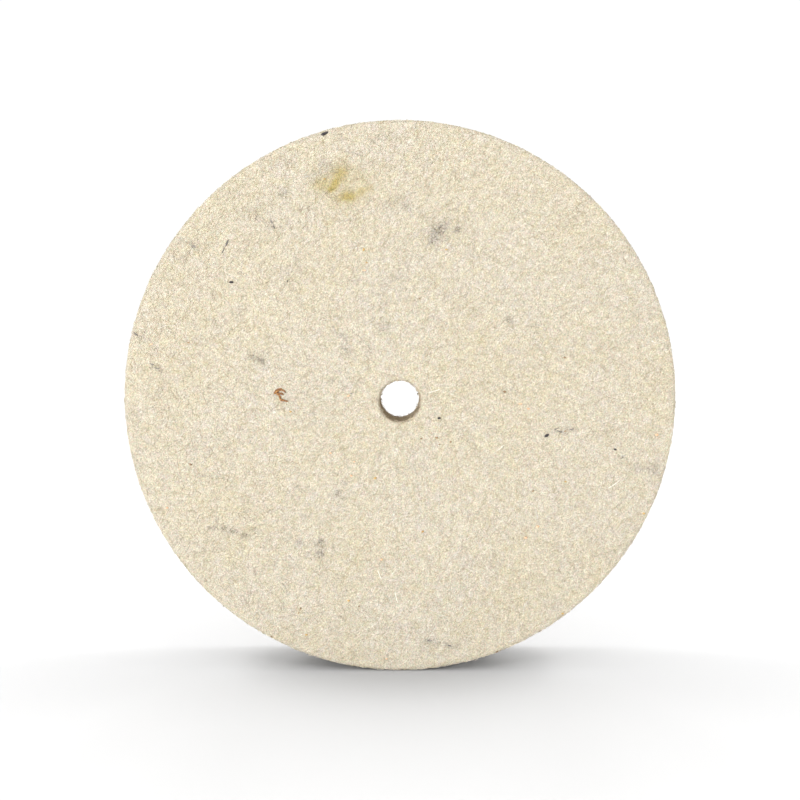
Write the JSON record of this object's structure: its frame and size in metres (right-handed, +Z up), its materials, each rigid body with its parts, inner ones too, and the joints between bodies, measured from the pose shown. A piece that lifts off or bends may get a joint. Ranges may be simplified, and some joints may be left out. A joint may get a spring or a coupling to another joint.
{
  "type": "felt polishing wheel",
  "caption": "Flat disc of hard pressed wool felt with a plain round bore, for polishing stones on a machine spindle.",
  "frame": {"origin": "middle of the bore, on the axis that the wheel spins about, halfway through its thickness, which is the middle of the wheel", "axes": "+Y is the spin axis and points out of the back face, +Z is up, +X is to the right as the front face is seen"},
  "size_m": [0.1524, 0.019, 0.1524],
  "materials": {
    "wool_felt": "matte"
  },
  "bodies": {
    "root": {"felt_wheel": "wool_felt"}
  },
  "joints": []
}
